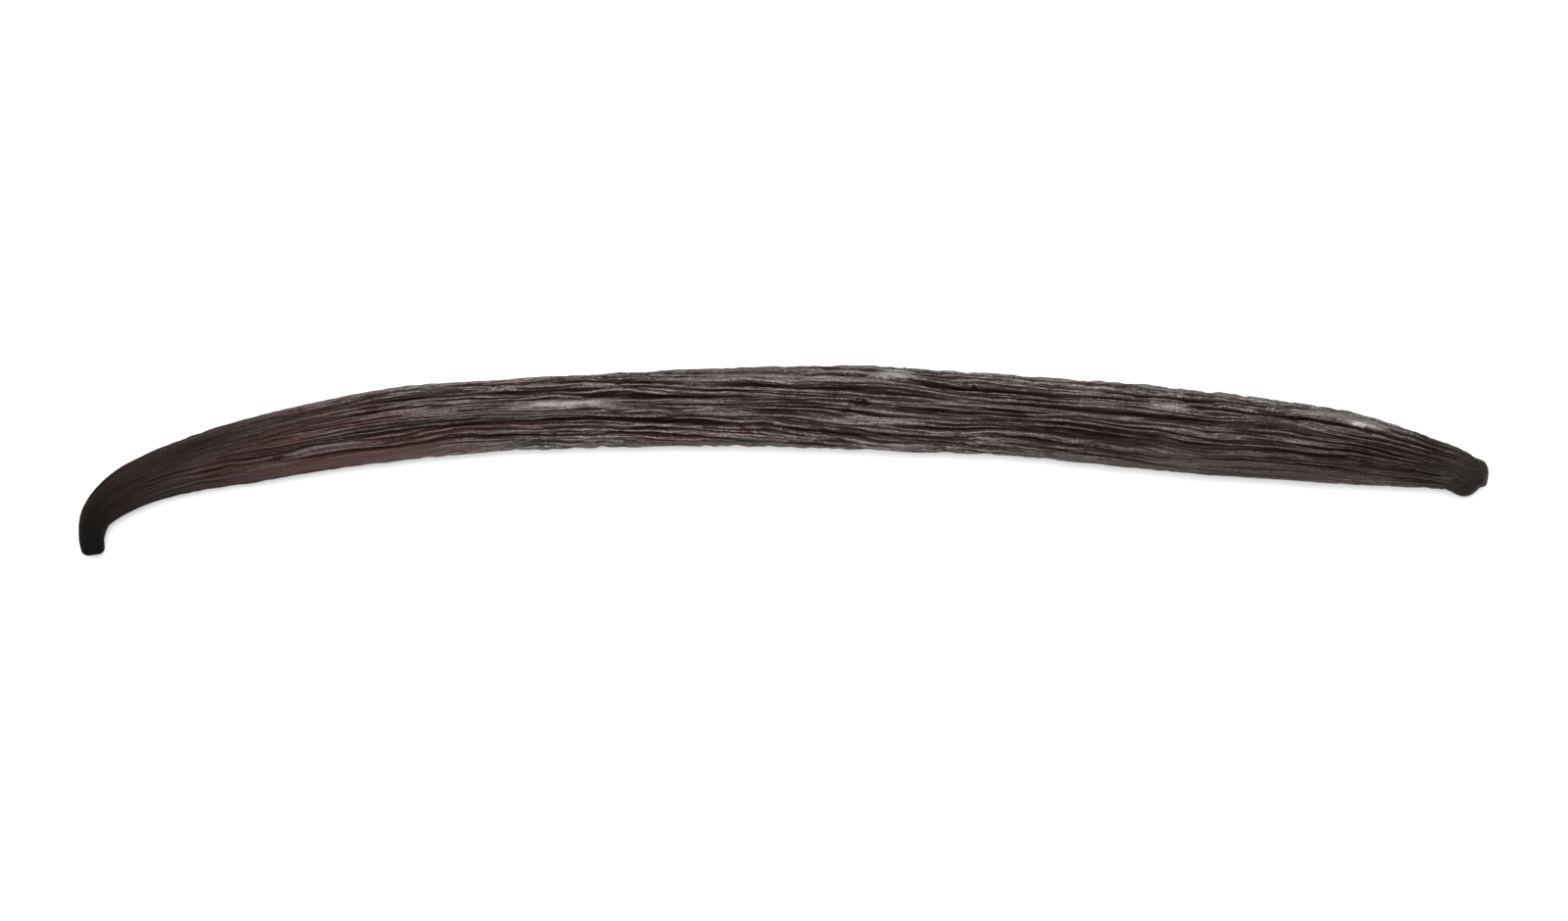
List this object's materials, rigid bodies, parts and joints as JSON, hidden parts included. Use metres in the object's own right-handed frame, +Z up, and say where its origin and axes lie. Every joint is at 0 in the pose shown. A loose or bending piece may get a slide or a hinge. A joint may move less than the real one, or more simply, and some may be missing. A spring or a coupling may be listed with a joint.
{
  "type": "vanilla pod",
  "caption": "Cured vanilla pod: a long, flattened, bowed and wrinkled dark brown seed pod with a hooked stem end and a blunt blossom end, lying flat.",
  "frame": {"origin": "under the middle of the pod's box, on the surface it lies on", "axes": "+X from the hooked stem end to the blunt blossom end, +Y towards the outside of the pod's bow, +Z up"},
  "size_m": [0.1704, 0.0232, 0.006],
  "materials": {
    "pod_skin": "wrinkled, oily, leathery dark brown skin with a soft grey sheen on its ridges"
  },
  "bodies": {
    "root": {"vanilla_pod": "pod_skin"}
  },
  "joints": []
}
